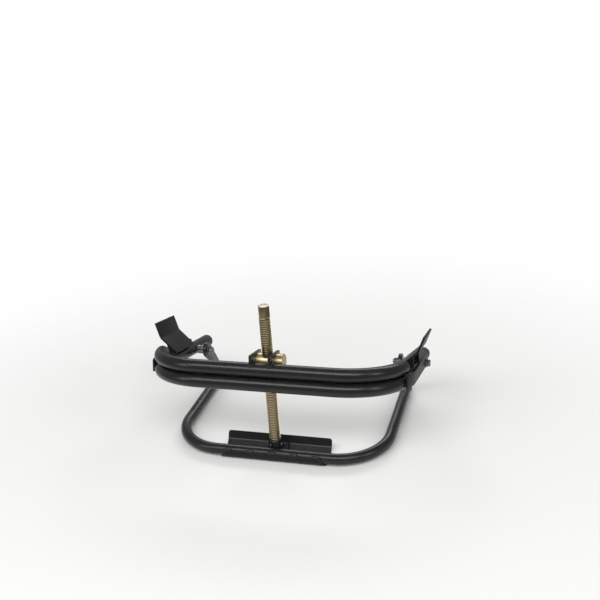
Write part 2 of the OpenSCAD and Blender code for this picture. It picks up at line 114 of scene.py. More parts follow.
BARREL_R = 18.0
BARREL_RISE = 13.0
BARREL_GAP = 2.5
BARREL_BACK = sqrt((UPPER_R + BARREL_R + BARREL_GAP) ** 2 - BARREL_RISE ** 2)
BARREL_UP = SEAM + BARREL_RISE
BARREL_TAIL = 1.0
BARREL_STUB = 17.0
BARREL_RIM = 1.2
EAR_T = 6.0
EAR_NEAR = 1.0
EAR_FAR = 11.0
EAR_RIGHT = SCREW_R + EAR_NEAR
EAR_LEFT = -SCREW_R - EAR_FAR - EAR_T
EAR_FRONT = 13.0
EAR_BEHIND = 4.0
EAR_BACK = BARREL_BACK + BARREL_R + EAR_BEHIND
EAR_MARGIN = 3.5
EAR_LOW = BARREL_UP - BARREL_R - EAR_MARGIN
EAR_TOP = BARREL_UP + BARREL_R + EAR_MARGIN
EAR_CORNER = 3.0
EAR_RIM = 0.7
EAR_HOLE_RIM = 0.5
BARREL_ENDS = (EAR_LEFT - BARREL_TAIL, EAR_RIGHT + EAR_T + BARREL_STUB)

BOLT_R = 5.0
BOLT_AF = 16.0
BOLT_HEAD_T = 7.5
BOLT_FILLET = 0.8
BOLT_OVER = 2.0
BOLT_THREAD = 0.6
BOLT_PITCH = 1.5
BOLT_LEAD = 1.0
NUT_T = 10.0
NUT_COLLAR = 2.6
NUT_LAP = 0.2
NUT_FIT = 0.2
WASHER_R = 11.0
WASHER_T = 2.0
RING_RIM = 0.4
HOLE_FIT = 0.15
RUN_FIT = 0.05
LUG_T = 8.0
LUG_X = LOWER_HALF - LUG_T / 2
LUG_FRONT = LOWER_ARM + CAP_T + 2 * WELD_GAP
LUG_FOOT = 32.0
LUG_KNEE = 2.0
LUG_EYE = 19.0
LUG_RIM = 0.9
LUG_HOLE_RIM = 0.8
SIDE_X = UPPER_HALF + UPPER_R + WELD_GAP
SIDE_T = 5.0
SIDE_H = 28.0
SIDE_UP = 5.0
SIDE_MID = SIDE_UP - SEAM
SIDE_PAST = 34.0
SIDE_END = HINGE_REACH + SIDE_PAST
SIDE_WRAP = 20.0
SIDE_CORNER = 6.0
SIDE_RIM = 0.8
SIDE_HOLE_RIM = 0.4

PLUG_HEAD = 36.0
PLUG_STEM = 18.0
CAP_HEAD = 5.0
CAP_STEM = 6.0
PLUG_ROUND = 2.0
PLUG_LEAD = 1.0
PLUG_RIM = 0.4
GROOVE_DEPTH = 1.6
GROOVE_W = 3.0
GROOVES = (4.5, 13.5)

PAD_T = 5.0
PAD_BACK = 18.0
PAD_START = UPPER_BEND + PAD_BACK
PAD_L = 105.0
PAD_LOW = 41.0
PAD_HIGH = 69.0
PAD_LOW_L = 50.0
PAD_HIGH_L = 34.0
PAD_BEND = 12.0
PAD_RIM = 1.0
PAD_IN = 20.0
PAD_UP = 22.5
PAD_EDGE = Vector((UPPER_HALF - PAD_IN, PAD_UP - SEAM))
PAD_ALONG = Vector((cos(radians(PAD_LOW)), sin(radians(PAD_LOW))))
PAD_OUT = Vector((-PAD_ALONG.y, PAD_ALONG.x))
GUSSET_T = 6.0
GUSSET_W = 22.0
GUSSET_INSET = 10.0
GUSSET_RIM = 0.7


def at(x, y, z):
    return Matrix.Translation((x, y, z))


def turned(angle, axis):
    return Matrix.Rotation(radians(angle), 4, axis)


# Places: the lower tube's axis, the seam of the upper crossbar, the hinge and the screw
LOWER = at(0, -PAN_FLOOR / 2, PAN_OUT)
UPPER = LOWER @ at(0, UPPER_BACK, UPPER_RISE) @ turned(-UPPER_FALL, "X")
HINGE_POINT = UPPER @ Vector((0, HINGE_REACH, -SEAM))
HINGE = Matrix.Translation(HINGE_POINT)
BALL_POINT = LOWER @ Vector((0, BALL_BACK, BALL_UP))
BARREL_POINT = UPPER @ Vector((0, BARREL_BACK, BARREL_UP))
SCREW_LINE = BARREL_POINT - BALL_POINT
SCREW_LEAN = degrees(atan2(SCREW_LINE.y, SCREW_LINE.z))
SCREW = Matrix.Translation(BALL_POINT) @ turned(-SCREW_LEAN, "X")
BARREL_DIST = SCREW_LINE.length

# Ways to lay a flat outline (u, v) of thickness w as (w, u, v) or (u, w, v), and a turned shape along X or Y
PLATE_X = Matrix(((0, 0, 1, 0), (1, 0, 0, 0), (0, 1, 0, 0), (0, 0, 0, 1)))
PLATE_Y = Matrix(((1, 0, 0, 0), (0, 0, 1, 0), (0, 1, 0, 0), (0, 0, 0, 1)))
ALONG_X = turned(90, "Y")
ALONG_Y = turned(-90, "X")


# Meshes, each made in millimetres about its own place
TUBE_SIDES = 56
BEND_STEPS = 28
BEAD_SIDES = 16
BEAD_RINGS = 8
BEAD_SKEW = Vector((0.31, 0.83, 0.47))
BEAD_WAIST = 0.88
BEAD_SCALLOP = 0.13
BEAD_TIP = 0.12
# Slow changes of a bead's size along it, as (share, pace, start)
BEAD_WANDER = ((0.05, 1.7, 0.0), (0.04, 0.61, 1.3))
RIPPLE = 2.2


def angles(start, end, steps):
    return [start + (end - start) * i / steps for i in range(steps + 1)]


def skin(bm, low, high):
    """Faces between two rings. A ring of one point closes to a tip."""
    count = max(len(low), len(high))
    for i in range(count):
        j = (i + 1) % count
        corners = [low[i % len(low)], low[j % len(low)], high[j % len(high)], high[i % len(high)]]
        corners = list(dict.fromkeys(corners))
        if len(corners) > 2:
            bm.faces.new(corners)


def lathe(profile, closed=False, steps=64):
    """A turned shape about Z from points (radius, height)."""
    bm = bmesh.new()
    rings = []
    for r, h in profile:
        if r < 1e-6:
            rings.append([bm.verts.new((0, 0, h))])
        else:
            rings.append([bm.verts.new((r * cos(a), r * sin(a), h)) for a in angles(0, 2 * pi, steps)[:-1]])
    for low, high in zip(rings, rings[1:] + rings[:1] if closed else rings[1:]):
        skin(bm, low, high)
    return bm


def arc(centre, r, start, end, steps=12):
    """Points of a flat arc, with its angles in degrees."""
    return [Vector((centre[0] + r * cos(a), centre[1] + r * sin(a)))
            for a in angles(radians(start), radians(end), steps)]


def rounded(corners, closed=True, steps=5):
    """A flat outline from (x, y, corner radius), with round corners."""
    points = []
    count = len(corners)
    for i, (x, y, r) in enumerate(corners):
        here = Vector((x, y))
        if r <= 0 or (not closed and i in (0, count - 1)):
            points.append(here)
            continue
        before = (Vector(corners[i - 1][:2]) - here).normalized()
        after = (Vector(corners[(i + 1) % count][:2]) - here).normalized()
        half = before.angle(after) / 2
        centre = here + (before + after).normalized() * (r / sin(half))
        first = here + before * (r / tan(half)) - centre
        last = here + after * (r / tan(half)) - centre
        sweep = first.angle_signed(last)
        for k in range(steps + 1):
            points.append(centre + Matrix.Rotation(-sweep * k / steps, 2) @ first)
    return points


def prism(outline, depth, edge=0.0):
    """A flat outline thickened along +Z, with its rims rounded by edge."""
    bm = bmesh.new()
    low = [bm.verts.new((p[0], p[1], 0)) for p in outline]
    high = [bm.verts.new((p[0], p[1], depth)) for p in outline]
    skin(bm, low, high)
    bm.faces.new(list(reversed(low)))
    bm.faces.new(high)
    bmesh.ops.recalc_face_normals(bm, faces=bm.faces)
    return soften(bm, edge)


def soften(bm, width, sharper=50, segments=3):
    """Rounds every edge sharper than the given angle."""
    if width > 0:
        edges = [e for e in bm.edges if len(e.link_faces) == 2 and e.calc_face_angle() > radians(sharper)]
        bmesh.ops.bevel(bm, geom=edges, offset=width, segments=segments, profile=0.5, affect="EDGES",
                        clamp_overlap=True)
    return bm


def moved(bm, place):
    bm.transform(place)
    return bm


def joined(first, *others):
    for other in others:
        spare = bpy.data.meshes.new("spare")
        other.to_mesh(spare)
        other.free()
        first.from_mesh(spare)
        bpy.data.meshes.remove(spare)
    return first


def mirrored(bm):
    """The left-hand shape from the right-hand one."""
    bm.transform(Matrix.Scale(-1, 4, (1, 0, 0)))
    bmesh.ops.reverse_faces(bm, faces=bm.faces)
    return bm


def both_sides(bm):
    """The right-hand shape and its mirror image on the left."""
    return joined(bm, mirrored(bm.copy()))


def spare_object(bm):
    mesh = bpy.data.meshes.new("spare")
    bmesh.ops.recalc_face_normals(bm, faces=bm.faces)
    bm.to_mesh(mesh)
    bm.free()
    obj = bpy.data.objects.new("spare", mesh)
    bpy.context.scene.collection.objects.link(obj)
    return obj


def boolean(bm, operation, *tools):
    """The shape after a boolean operation with each tool."""
    body = spare_object(bm)
    others = [spare_object(tool) for tool in tools]
    for other in others:
        step = body.modifiers.new("boolean", "BOOLEAN")
        step.operation = operation
        step.solver = "EXACT"
        step.object = other
    mesh = bpy.data.meshes.new_from_object(body.evaluated_get(bpy.context.evaluated_depsgraph_get()))
    result = bmesh.new()
    result.from_mesh(mesh)
    bpy.data.meshes.remove(mesh)
    for obj in [body] + others:
        spare = obj.data
        bpy.data.objects.remove(obj)
        bpy.data.meshes.remove(spare)
    return result


def cut(bm, *cutters):
    """The shape with each cutter taken away."""
    return boolean(bm, "DIFFERENCE", *cutters)


def drill(r, low, high, chamfer):
    """A cutter about Z for a hole that goes through from low to high, with both rims chamfered."""
    wide = r + 3 * chamfer
    return lathe([(0, low - 2 * chamfer), (wide, low - 2 * chamfer), (r, low + chamfer),
                  (r, high - chamfer), (wide, high + 2 * chamfer), (0, high + 2 * chamfer)])


def bend_end(half, bend, sweep=90):
    """The place where a tube's right bend ends, with +Z along the tube."""
    return at(half - bend, bend, 0) @ turned(sweep, "Z") @ at(0, -bend, 0) @ ALONG_X


def u_tube(half, bend, tail, r, sweep=90):
    """A hollow tube bent to a U: a crossbar along X, then a bend and a straight tail at each side."""
    stations = []
    for side in (-1, 1):
        centre = Vector((side * (half - bend), bend, 0))
        stretch = []
        for a in angles(0, radians(sweep), BEND_STEPS):
            out = Vector((side * sin(a), -cos(a), 0))
            stretch.append((centre + bend * out, out))
        if tail > 0:
            point, out = stretch[-1]
            stretch.append((point + tail * Vector((-side * out.y, side * out.x, 0)), out))
        stations = list(reversed(stretch)) if side < 0 else stations + stretch
    bm = bmesh.new()
    shells = []
    for radius in (r, r - WALL):
        shells.append([[bm.verts.new(p + radius * (out * cos(a) + Vector((0, 0, sin(a)))))
                        for a in angles(0, 2 * pi, TUBE_SIDES)[:-1]] for p, out in stations])
    for rings in shells:
        for low, high in zip(rings, rings[1:]):
            skin(bm, low, high)
    for end in (0, -1):
        skin(bm, shells[0][end], shells[1][end])
    return bm


def bead(points, r, ripple=RIPPLE):
    """A weld bead along a line: a row of overlapping scallops with round ends."""
    lengths = [0.0]
    for a, b in zip(points, points[1:]):
        lengths.append(lengths[-1] + (b - a).length)
    total = lengths[-1]
    count = max(12, int(BEAD_RINGS * total / ripple))
    bm = bmesh.new()
    rings = []
    for k in range(count + 1):
        s = total * k / count
        i = max(n for n in range(len(points) - 1) if lengths[n] <= s + 1e-9)
        t = (s - lengths[i]) / (lengths[i + 1] - lengths[i])
        centre = points[i].lerp(points[i + 1], t)
        along = (points[i + 1] - points[i]).normalized()
        across = along.cross(BEAD_SKEW).normalized()
        other = along.cross(across)
        near = min(s / r, (total - s) / r, 1.0)
        end = sqrt(max(0.0, 1 - (1 - near) ** 2))
        scallop = abs(sin(pi * s / ripple))
        wander = sum(share * sin(pace * s / ripple + start) for share, pace, start in BEAD_WANDER)
        radius = r * max(BEAD_TIP, end * (BEAD_WAIST + BEAD_SCALLOP * scallop + wander))
        rings.append([bm.verts.new(centre + radius * (across * cos(a) + other * sin(a)))
                      for a in angles(0, 2 * pi, BEAD_SIDES)[:-1]])
    for low, high in zip(rings, rings[1:]):
        skin(bm, low, high)
    bm.faces.new(list(reversed(rings[0])))
    bm.faces.new(rings[-1])
    return bm


def ring_line(place, r, start, end, steps=24):
    """Points on a circle about the place's Z axis, with angles in degrees."""
    return [place @ Vector((r * cos(a), r * sin(a), 0)) for a in angles(radians(start), radians(end), steps)]


# Shader maths as Python expressions
class Value:
    """A value that varies over a surface, held in a node's socket."""

    def __init__(self, finish, socket):
        self.finish = finish
        self.socket = socket

    def __add__(self, other):
        return self.finish.math("ADD", self, other)

    __radd__ = __add__

    def __mul__(self, other):
        return self.finish.math("MULTIPLY", self, other)

    __rmul__ = __mul__

    def __sub__(self, other):
        return self.finish.math("SUBTRACT", self, other)

    def __rsub__(self, other):
        return self.finish.math("SUBTRACT", other, self)

    def step(self, low, high):
        """0 below low and 1 above high, with a smooth change between."""
        return self.finish.node("MapRange", {"interpolation_type": "SMOOTHSTEP", "clamp": True},
                                {"Value": self, "From Min": low, "From Max": high})


class Finish:
    """A material of the clamp, made of nodes."""

    def __init__(self, name, slot):
        self.material = bpy.data.materials.new(name)
        self.material.use_nodes = True
        self.tree = self.material.node_tree
        self.shader = self.tree.nodes["Principled BSDF"]
        self.slot = slot
        self.place = self.node("TexCoord", out="Object")

    def node(self, kind, settings=None, sockets=None, out=0):
        made = self.tree.nodes.new("ShaderNode" + kind)
        for key, value in (settings or {}).items():
            setattr(made, key, value)
        for key, value in (sockets or {}).items():
            self.feed(made.inputs[key], value)
        return Value(self, made.outputs[out])

    def feed(self, socket, value):
        if isinstance(value, Value):
            self.tree.links.new(value.socket, socket)
        else:
            socket.default_value = value

    def math(self, operation, a, b):
        return self.node("Math", {"operation": operation}, {0: a, 1: b})

    def noise(self, scale, detail=3.0, place=None):
        return self.node("TexNoise", {}, {"Vector": place or self.place, "Scale": scale, "Detail": detail,
                                          "Roughness": 0.55}, out="Fac")

    def stretched(self, x, y, z):
        return self.node("VectorMath", {"operation": "MULTIPLY"}, {0: self.place, 1: (x, y, z)})

    def along(self, axis):
        return self.node("SeparateXYZ", {}, {"Vector": self.place}, out=axis)

    def facing_up(self):
        normal = self.node("NewGeometry", out="Normal")
        return self.node("SeparateXYZ", {}, {"Vector": normal}, out="Z")

    def edges(self, width):
        """0 on open faces, and more towards an edge."""
        normal = self.node("NewGeometry", out="Normal")
        round_normal = self.node("Bevel", {"samples": 6}, {"Radius": width})
        sockets = {0: round_normal, 1: normal}
        return 1 - self.node("VectorMath", {"operation": "DOT_PRODUCT"}, sockets, out="Value")

    def mix(self, factor, a, b):
        """From colour a to colour b, by the Mix node's colour sockets."""
        sockets = {0: factor, 6: a, 7: b}
        return self.node("Mix", {"data_type": "RGBA"}, sockets, out=2)

    def bump(self, height, distance, strength=1.0, under=None):
        sockets = {"Height": height, "Distance": distance, "Strength": strength}
        if under:
            sockets["Normal"] = under
        return self.node("Bump", {}, sockets)

    def set(self, **sockets):
        for name, value in sockets.items():
            self.feed(self.shader.inputs[name.replace("_", " ")], value)
        return self


def rgb(r, g, b):
    return (r, g, b, 1.0)


def powder_coat(name, rough=0.23, ior=1.42, fold_highlight_height=None):
    """Satin black powder coat: fine orange peel, faint dust, a pale painted highlight line along a fold at a
    given height, and rubbed edges that also carry a painted edge highlight.
    """
    f = Finish(name, "black_coat")
    cloud = f.noise(14)
    peel = f.noise(620, 2)
    grit = f.noise(2600, 1)
    scuff = f.noise(60, 5, f.stretched(0.25, 1, 1)).step(0.60, 0.72)
    dust = f.facing_up().step(0.25, 1.0) * f.noise(38, 5).step(0.35, 0.75)
    ground = (1 - f.along("Z").step(0.004, 0.05)) * f.noise(55, 5).step(0.38, 0.70)
    # Lighter edges: rub wear that also serves as a painted edge highlight
    worn = (f.edges(0.0012) * (0.5 + f.noise(150, 4))).step(0.05, 0.22)
    black = f.mix(cloud, rgb(0.005, 0.005, 0.006), rgb(0.010, 0.010, 0.011))
    dust_and_fold_highlight = dust * 0.012 + ground * 0.014
    # Painted highlight: a pale line at the fold's height stands in for the light that the fold catches
    if fold_highlight_height:
        off = f.math("ABSOLUTE", f.along("Z") - fold_highlight_height, 0)
        line = (1 - off.step(0.0004, 0.0016)) * f.along("Y").step(0.010, 0.012)
        dust_and_fold_highlight = dust_and_fold_highlight + line * (0.10 + 0.22 * cloud)
    dusty_and_fold_highlit = f.mix(dust_and_fold_highlight, black, rgb(0.34, 0.33, 0.31))
    rubbed = f.mix(worn * 0.5, dusty_and_fold_highlit, rgb(0.07, 0.07, 0.072))
    dull = 0.06 * cloud + 0.06 * dust + 0.12 * ground + 0.05 * scuff - 0.04 * worn
    f.set(Base_Color=rubbed, Roughness=rough + dull, IOR=ior)
    return f.set(Normal=f.bump(grit, 0.00002, 0.20, f.bump(peel, 0.00006, 0.12)))


def yellow_zinc(name, drive=None):
    """Yellow zinc plating: clouded gold, pale edges, a painted highlight on the thread's crests and painted
    shade in its roots; above the height drive, a brown film on the sides that also stands in for shade, and
    a painted highlight on the top face.
    """
    f = Finish(name, "yellow_zinc")
    cloud = f.noise(45, 4)
    tint = f.noise(110, 3)
    grain = f.noise(900, 2)
    groove = f.node("Attribute", {"attribute_name": "groove"}, out="Fac")
    crest = f.node("Attribute", {"attribute_name": "crest"}, out="Fac")
    worn = (f.edges(0.0006) * (0.4 + f.noise(240, 4))).step(0.04, 0.20)
    gold = f.mix(cloud.step(0.3, 0.7), rgb(0.36, 0.28, 0.155), rgb(0.48, 0.40, 0.25))
    olive = f.mix(tint.step(0.52, 0.72) * 0.5, gold, rgb(0.36, 0.36, 0.19))
    rose = f.mix((1 - tint).step(0.56, 0.76) * 0.4, olive, rgb(0.46, 0.33, 0.23))
    # Painted highlight: the thread's crests lightened
    highlit_colour = f.mix(crest * 0.75, rose, rgb(0.84, 0.70, 0.43))
    if drive:
        # Above the drive's base the sides are painted dark brown, a grease film that also stands in for
        # shade, and the top face is painted pale, a painted highlight
        top = f.facing_up().step(0.6, 0.9)
        drive_film_and_shade = f.along("Z").step(drive - 0.0005, drive + 0.0015)
        highlit_colour = f.mix(drive_film_and_shade * (1 - top) * (0.5 + 0.5 * cloud), highlit_colour, rgb(0.13, 0.085, 0.045))
        highlit_colour = f.mix(drive_film_and_shade * top * 0.7, highlit_colour, rgb(0.36, 0.34, 0.30))
    pale = f.mix(worn * 0.7, highlit_colour, rgb(0.72, 0.68, 0.58))
    # Painted shade: the thread's roots darkened to near black
    dark = f.mix(groove * (0.85 + 0.15 * cloud), pale, rgb(0.040, 0.024, 0.010))
    f.set(Base_Color=dark, Roughness=0.30 + 0.10 * cloud + 0.25 * groove - 0.05 * worn)
    return f.set(Normal=f.bump(grain, 0.00004, 0.25), Metallic=1.0)


def bright_zinc(name):
    """Bright zinc of the hinge's hardware and the shoe's pin, with dull patches."""
    f = Finish(name, "bright_zinc")
    cloud = f.noise(130, 4)
    grain = f.noise(1500, 2)
    worn = (f.edges(0.0006) * (0.4 + f.noise(300, 4))).step(0.05, 0.22)
    zinc = f.mix(cloud.step(0.35, 0.7), rgb(0.15, 0.15, 0.155), rgb(0.27, 0.27, 0.265))
    f.set(Base_Color=f.mix(worn * 0.6, zinc, rgb(0.50, 0.50, 0.49)), Roughness=0.30 + 0.2 * cloud)
    return f.set(Normal=f.bump(grain, 0.00004, 0.2), Metallic=1.0)


def dark_steel(name):
    """Oiled dark steel of the thrust shoe, rubbed on its edges."""
    f = Finish(name, "dark_steel")
    cloud = f.noise(90, 4)
    worn = (f.edges(0.0008) * (0.4 + f.noise(260, 4))).step(0.05, 0.2)
    steel = f.mix(cloud, rgb(0.035, 0.034, 0.033), rgb(0.085, 0.082, 0.078))
    f.set(Base_Color=f.mix(worn, steel, rgb(0.36, 0.35, 0.34)), Roughness=0.34 + 0.2 * cloud)
    return f.set(Normal=f.bump(f.noise(1100, 2), 0.00004, 0.25), Metallic=0.9)


def moulded_plastic(name):
    """Matt black plastic of the plugs, with a fine moulded grain and chalky rubs."""
    f = Finish(name, "plug_plastic")
    cloud = f.noise(40, 4)
    worn = (f.edges(0.001) * (0.4 + f.noise(200, 4))).step(0.05, 0.25)
    black = f.mix(cloud, rgb(0.012, 0.012, 0.013), rgb(0.026, 0.026, 0.027))
    f.set(Base_Color=f.mix(worn * 0.5, black, rgb(0.09, 0.09, 0.09)), Roughness=0.52 + 0.16 * cloud)
    return f.set(Normal=f.bump(f.noise(1900, 2), 0.00006, 0.35))


# Heights in metres of the foot's fold, along which a highlight line is painted, and of the screw's drive
FOLD_HIGHLIGHT_HEIGHT = 0.0137
DRIVE_HEIGHT = 0.3416

COAT = powder_coat("black_powder_coat")
PLATE_COAT = powder_coat("plate_powder_coat", 0.42, 1.30)
FOOT_COAT_WITH_FOLD_HIGHLIGHT = powder_coat("foot_powder_coat_painted_fold_highlight", 0.46, 1.30, FOLD_HIGHLIGHT_HEIGHT)
WELD = powder_coat("coated_weld", 0.30)
GOLD = yellow_zinc("yellow_zinc_plate")
SCREW_GOLD = yellow_zinc("screw_zinc_plate_painted_light", DRIVE_HEIGHT)
ZINC = bright_zinc("bright_zinc_plate")
STEEL = dark_steel("oiled_dark_steel")
PLASTIC = moulded_plastic("black_moulded_plastic")
SMOOTH_ANGLE = 36


def piece(name, bm, place, finish, body, *nodes):
    """A finished mesh in metres that rides on a body and stands for the named nodes."""
    bm.transform(Matrix.Scale(MM, 4) @ place)
    bmesh.ops.remove_doubles(bm, verts=bm.verts, dist=1e-7)
    bmesh.ops.recalc_face_normals(bm, faces=bm.faces)
    mesh = bpy.data.meshes.new(name)
    bm.to_mesh(mesh)
    bm.free()
    mesh.shade_smooth()
    mesh.set_sharp_from_angle(angle=radians(SMOOTH_ANGLE))
    mesh.materials.append(finish.material)
    obj = bpy.data.objects.new(name, mesh)
    bpy.context.scene.collection.objects.link(obj)
    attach(obj, body)
    if nodes:
        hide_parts(*nodes)
    return obj


# Lower frame
tube = u_tube(LOWER_HALF, LOWER_BEND, LOWER_TAIL, LOWER_R)
piece("lower_frame_tube", tube, LOWER, COAT, "lower_frame", "lower_tube")

cap = lathe([(0, 0), (LOWER_R, 0), (LOWER_R, CAP_T - CAP_RIM), (LOWER_R - CAP_RIM, CAP_T), (0, CAP_T)])
cap = moved(cap, at(LOWER_HALF, LOWER_ARM + WELD_GAP, 0) @ ALONG_Y)
piece("lower_arm_caps", both_sides(cap), LOWER, COAT, "lower_frame", "lower_end_caps")

# Rows up the foot's lip as shares of it, and columns as shares of half the foot's length
LIP_ROWS = (0.5, 0.68, 0.76, 0.84, 0.91, 0.96, 0.99, 1.0)
PAN_COLUMNS = (-1, -0.9, -0.6, -0.3, 0, 0.3, 0.6, 0.9, 1)
WRAP_Y = -0.5


def pan_bends(d):
    """The pan's two rear bends, as (y, z) from the tube's axis, d above its underside."""
    lip_slope = 90 - PAN_LEAN
    middle = radians((PAN_ANGLE + lip_slope) / 2)
    mitre = d / cos(radians((lip_slope - PAN_ANGLE) / 2)) * Vector((-sin(middle), cos(middle)))
    return [Vector((PAN_FLOOR - d * tan(radians(PAN_ANGLE / 2)), d - PAN_OUT)),
            Vector((PAN_FLOOR + PAN_SLOPE, PAN_SLOPE - PAN_OUT)) + mitre]


def pan_rows():
    """The pan's outer line from the front wrap to the lip's top, as (y, z) from the tube's axis."""
    slope_end = PAN_FLOOR + PAN_SLOPE
    lip_top = PAN_SLOPE + PAN_LIP - PAN_OUT
    lip_end = slope_end + PAN_LIP * tan(radians(PAN_LEAN))
    line = arc((0, 0), PAN_OUT, 180 - PAN_WRAP, 270, 20)
    bent = rounded([(0, -PAN_OUT, 0), (PAN_FLOOR, -PAN_OUT, PAN_FOLD),
                    (slope_end, PAN_SLOPE - PAN_OUT, PAN_FOLD), (lip_end, lip_top, 0)], closed=False)
    lip = [bent[-2].lerp(bent[-1], t) for t in LIP_ROWS]
    return line + bent[1:-1] + lip, lip_top


def pan_half(y, z, lip_top):
    """Half the pan's length at a point of its line: slanted at the wrap, round at the lip's corners."""
    if y < WRAP_Y:
        return PAN_L / 2 - (z + PAN_OUT) * tan(radians(PAN_SLANT))
    over = z - (lip_top - PAN_CORNER)
    if over > 0 and y > PAN_FLOOR:
        return PAN_L / 2 - PAN_CORNER + sqrt(max(0.0, PAN_CORNER ** 2 - over ** 2))
    return PAN_L / 2


def foot_pan():
    """The bent foot plate: front wrap, floor, sloped panel and lip."""
    rows, lip_top = pan_rows()
    bm = bmesh.new()
    grid = []
    for y, z in rows:
        half = pan_half(y, z, lip_top)
        grid.append([bm.verts.new((half * t, y, z)) for t in PAN_COLUMNS])
    for low, high in zip(grid, grid[1:]):
        for i in range(len(low) - 1):
            bm.faces.new((low[i], low[i + 1], high[i + 1], high[i]))
    bmesh.ops.recalc_face_normals(bm, faces=bm.faces)
    return bm


pan = piece("foot_pan_plate", foot_pan(), LOWER, FOOT_COAT_WITH_FOLD_HIGHLIGHT, "lower_frame", "foot_pan")
thick = pan.modifiers.new("thickness", "SOLIDIFY")
thick.thickness = PAN_T * MM
thick.offset = -1
thick.use_even_offset = True
soft = pan.modifiers.new("soft_rim", "BEVEL")
soft.width = PAN_RIM * MM
soft.segments = 2
soft.limit_method = "ANGLE"
soft.angle_limit = radians(PAN_RIM_ANGLE)


def cheek():
    """A cheek that stands on the pan beside the socket, from the crossbar to the lip."""
    outline = [(CHEEK_FRONT, -LOWER_R), *pan_bends(PAN_T + WELD_GAP)]
    lip = CHEEK_RISE * Vector((tan(radians(PAN_LEAN)), 1))
    outline += [outline[-1] + lip, (CHEEK_FRONT, CHEEK_FRONT_H - LOWER_R)]
    return moved(prism(outline, CHEEK_T, CHEEK_RIM), at(CHEEK_X, 0, 0) @ PLATE_X)


piece("socket_cheek_right", cheek(), LOWER, COAT, "lower_frame", "cheek_right")
piece("socket_cheek_left", mirrored(cheek()), LOWER, COAT, "lower_frame", "cheek_left")


def lug():
    """A lug that stands behind the lower arm and carries the hinge."""
    to_axis = LOWER.inverted() @ HINGE_POINT
    eye = Vector((to_axis.y, to_axis.z))
    knee = Vector((LUG_FRONT, LOWER_R + LUG_KNEE))
    rear = Vector((LUG_FRONT + LUG_FOOT, -PAN_OUT))

    def touch(p, side):
        away = p - eye
        return degrees(atan2(away.y, away.x) + side * acos(LUG_EYE / away.length))

    outline = [Vector((LUG_FRONT, -PAN_OUT)), rear]
    outline += arc(eye, LUG_EYE, touch(rear, 1), touch(knee, -1) + 360, 28) + [knee]
    shape = moved(prism(outline, LUG_T, LUG_RIM), PLATE_X)
    hole = moved(drill(BOLT_R + RUN_FIT, 0, LUG_T, LUG_HOLE_RIM), at(0, eye.x, eye.y) @ ALONG_X)
    return moved(cut(shape, hole), at(LUG_X, 0, 0))


piece("hinge_lug_right", lug(), LOWER, COAT, "lower_frame", "lug_right")
piece("hinge_lug_left", mirrored(lug()), LOWER, COAT, "lower_frame", "lug_left")

# Upper frame
TOP_PLACE = UPPER @ at(0, 0, SEAM)
BOTTOM_PLACE = UPPER @ at(0, 0, -SEAM)
tube = u_tube(UPPER_HALF, UPPER_BEND, 0, UPPER_R, TOP_SWEEP)
piece("upper_frame_tube_top", tube, TOP_PLACE, COAT, "upper_frame", "upper_tube_top")
tube = u_tube(UPPER_HALF, UPPER_BEND, BOTTOM_TAIL, UPPER_R)
piece("upper_frame_tube_bottom", tube, BOTTOM_PLACE, COAT, "upper_frame", "upper_tube_bottom")


def plug(stem, head, grooves):
    """A plug in a tube's end, with its head at +Z."""
    inside = UPPER_R - WALL - WELD_GAP
    neck = UPPER_R - GROOVE_DEPTH
    shoulder = UPPER_R - PLUG_RIM
    line = [(0, -stem), (inside - PLUG_LEAD, -stem), (inside, PLUG_LEAD - stem)]
    line += [(inside, 0), (shoulder, 0), (UPPER_R, PLUG_RIM)]
    for low in grooves:
        high = low + GROOVE_W
        line += [(UPPER_R, low - PLUG_RIM), (shoulder, low), (neck, low + PLUG_RIM)]
        line += [(neck, high - PLUG_RIM), (shoulder, high), (UPPER_R, high + PLUG_RIM)]
    line += arc((UPPER_R - PLUG_ROUND, head - PLUG_ROUND), PLUG_ROUND, 0, 90, 6) + [(0, head)]
    return lathe(line)


end = bend_end(UPPER_HALF, UPPER_BEND, TOP_SWEEP) @ at(0, 0, WELD_GAP)
top_plugs = both_sides(moved(plug(CAP_STEM, CAP_HEAD, ()), end))
piece("top_tube_end_plugs", top_plugs, TOP_PLACE, PLASTIC, "upper_frame", "top_tube_plugs")
end = bend_end(UPPER_HALF, UPPER_BEND) @ at(0, 0, BOTTOM_TAIL + WELD_GAP)
bottom_plugs = both_sides(moved(plug(PLUG_STEM, PLUG_HEAD, GROOVES), end))
piece("bottom_tube_end_plugs", bottom_plugs, BOTTOM_PLACE, PLASTIC, "upper_frame", "bottom_tube_plugs")


def ear():
    """An ear on the upper crossbar: a plate with a round saddle over the tube and the barrel's hole."""
    saddle = UPPER_R + WELD_GAP
    front = degrees(acos(-EAR_FRONT / saddle))
    rear = -degrees(asin((SEAM - EAR_LOW) / saddle))
    corners = rounded([(-EAR_FRONT, SEAM, 0), (-EAR_FRONT, EAR_TOP, EAR_CORNER),
                       (EAR_BACK, EAR_TOP, EAR_CORNER), (EAR_BACK, EAR_LOW, EAR_CORNER), (0, EAR_LOW, 0)])
    outline = arc((0, SEAM), saddle, rear, front, 24) + corners[1:-1]
    shape = moved(prism(outline, EAR_T, EAR_RIM), PLATE_X)
    hole = drill(BARREL_R + RUN_FIT, 0, EAR_T, EAR_HOLE_RIM)
    return cut(shape, moved(hole, at(0, BARREL_BACK, BARREL_UP) @ ALONG_X))


piece("trunnion_ear_right", moved(ear(), at(EAR_RIGHT, 0, 0)), UPPER, COAT, "upper_frame", "ear_right")
piece("trunnion_ear_left", moved(ear(), at(EAR_LEFT, 0, 0)), UPPER, COAT, "upper_frame", "ear_left")


